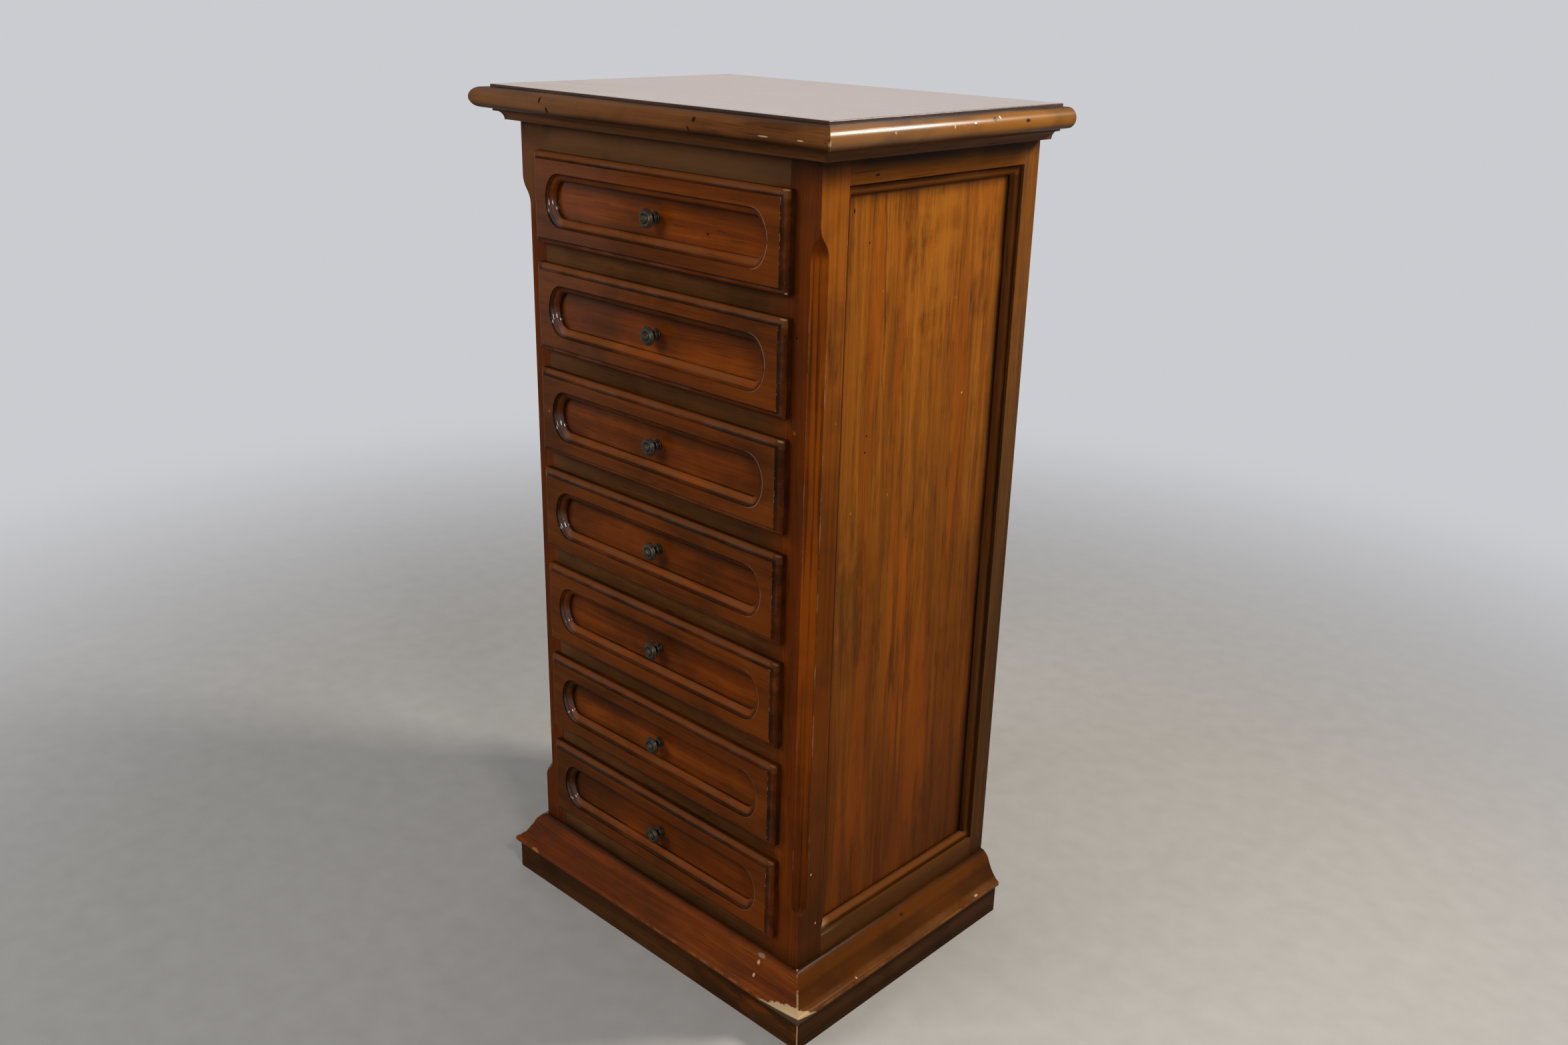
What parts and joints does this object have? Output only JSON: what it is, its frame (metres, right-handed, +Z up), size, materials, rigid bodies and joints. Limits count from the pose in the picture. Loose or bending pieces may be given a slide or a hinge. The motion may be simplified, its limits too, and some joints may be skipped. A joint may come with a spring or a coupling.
{
  "type": "chest of drawers",
  "caption": "Tall narrow floor-standing wooden chest of drawers with a bullnose top, moulded base, panelled sides and lipped drawers that slide out on runners.",
  "frame": {"origin": "on the floor, under the middle of the overall box", "axes": "+Z up, -Y out of the drawer fronts, +X to the right seen from the front"},
  "size_m": [0.6398, 0.458, 1.2],
  "materials": {
    "carcass_wood": "satin lacquer over dark red-brown stain",
    "drawer_wood": "satin lacquer over red-brown stain, dark glaze in the hollows",
    "panel_wood": "satin lacquer over golden brown stain",
    "plinth_wood": "satin lacquer over very dark stain",
    "inner_wood": "bare sanded softwood and plywood",
    "knob_metal": "dark antiqued bronze"
  },
  "bodies": {
    "carcass": {"top_panel": "carcass_wood", "top_edging": "carcass_wood", "cornice": "carcass_wood", "base_moulding": "carcass_wood", "plinth": "plinth_wood", "plinth_blocks": "inner_wood", "front_post_left": "carcass_wood", "front_post_right": "carcass_wood", "back_post_left": "carcass_wood", "back_post_right": "carcass_wood", "side_rails_left": "carcass_wood", "side_rails_right": "carcass_wood", "side_panel_left": "panel_wood", "side_panel_right": "panel_wood", "panel_moulding_left": "carcass_wood", "panel_moulding_right": "carcass_wood", "front_top_rail": "carcass_wood", "drawer_rails": "carcass_wood", "front_bottom_rail": "carcass_wood", "back_panel": "inner_wood", "back_rails": "inner_wood", "bottom_board": "inner_wood", "drawer_runners": "inner_wood", "drawer_guides": "inner_wood", "glue_blocks": "inner_wood"},
    "drawer_1": {"drawer_1_front": "drawer_wood", "drawer_1_sides": "inner_wood", "drawer_1_back": "inner_wood", "drawer_1_bottom": "inner_wood", "drawer_1_knob": "knob_metal"},
    "drawer_2": {"drawer_2_front": "drawer_wood", "drawer_2_sides": "inner_wood", "drawer_2_back": "inner_wood", "drawer_2_bottom": "inner_wood", "drawer_2_knob": "knob_metal"},
    "drawer_3": {"drawer_3_front": "drawer_wood", "drawer_3_sides": "inner_wood", "drawer_3_back": "inner_wood", "drawer_3_bottom": "inner_wood", "drawer_3_knob": "knob_metal"},
    "drawer_4": {"drawer_4_front": "drawer_wood", "drawer_4_sides": "inner_wood", "drawer_4_back": "inner_wood", "drawer_4_bottom": "inner_wood", "drawer_4_knob": "knob_metal"},
    "drawer_5": {"drawer_5_front": "drawer_wood", "drawer_5_sides": "inner_wood", "drawer_5_back": "inner_wood", "drawer_5_bottom": "inner_wood", "drawer_5_knob": "knob_metal"},
    "drawer_6": {"drawer_6_front": "drawer_wood", "drawer_6_sides": "inner_wood", "drawer_6_back": "inner_wood", "drawer_6_bottom": "inner_wood", "drawer_6_knob": "knob_metal"},
    "drawer_7": {"drawer_7_front": "drawer_wood", "drawer_7_sides": "inner_wood", "drawer_7_back": "inner_wood", "drawer_7_bottom": "inner_wood", "drawer_7_knob": "knob_metal"}
  },
  "joints": [
    {"name": "drawer_1_slide", "type": "slide", "parent": "carcass", "child": "drawer_1", "axis": [0, -1, 0], "range_m": [0, 0.3]},
    {"name": "drawer_2_slide", "type": "slide", "parent": "carcass", "child": "drawer_2", "axis": [0, -1, 0], "range_m": [0, 0.3]},
    {"name": "drawer_3_slide", "type": "slide", "parent": "carcass", "child": "drawer_3", "axis": [0, -1, 0], "range_m": [0, 0.3]},
    {"name": "drawer_4_slide", "type": "slide", "parent": "carcass", "child": "drawer_4", "axis": [0, -1, 0], "range_m": [0, 0.3]},
    {"name": "drawer_5_slide", "type": "slide", "parent": "carcass", "child": "drawer_5", "axis": [0, -1, 0], "range_m": [0, 0.3]},
    {"name": "drawer_6_slide", "type": "slide", "parent": "carcass", "child": "drawer_6", "axis": [0, -1, 0], "range_m": [0, 0.3]},
    {"name": "drawer_7_slide", "type": "slide", "parent": "carcass", "child": "drawer_7", "axis": [0, -1, 0], "range_m": [0, 0.3]}
  ]
}
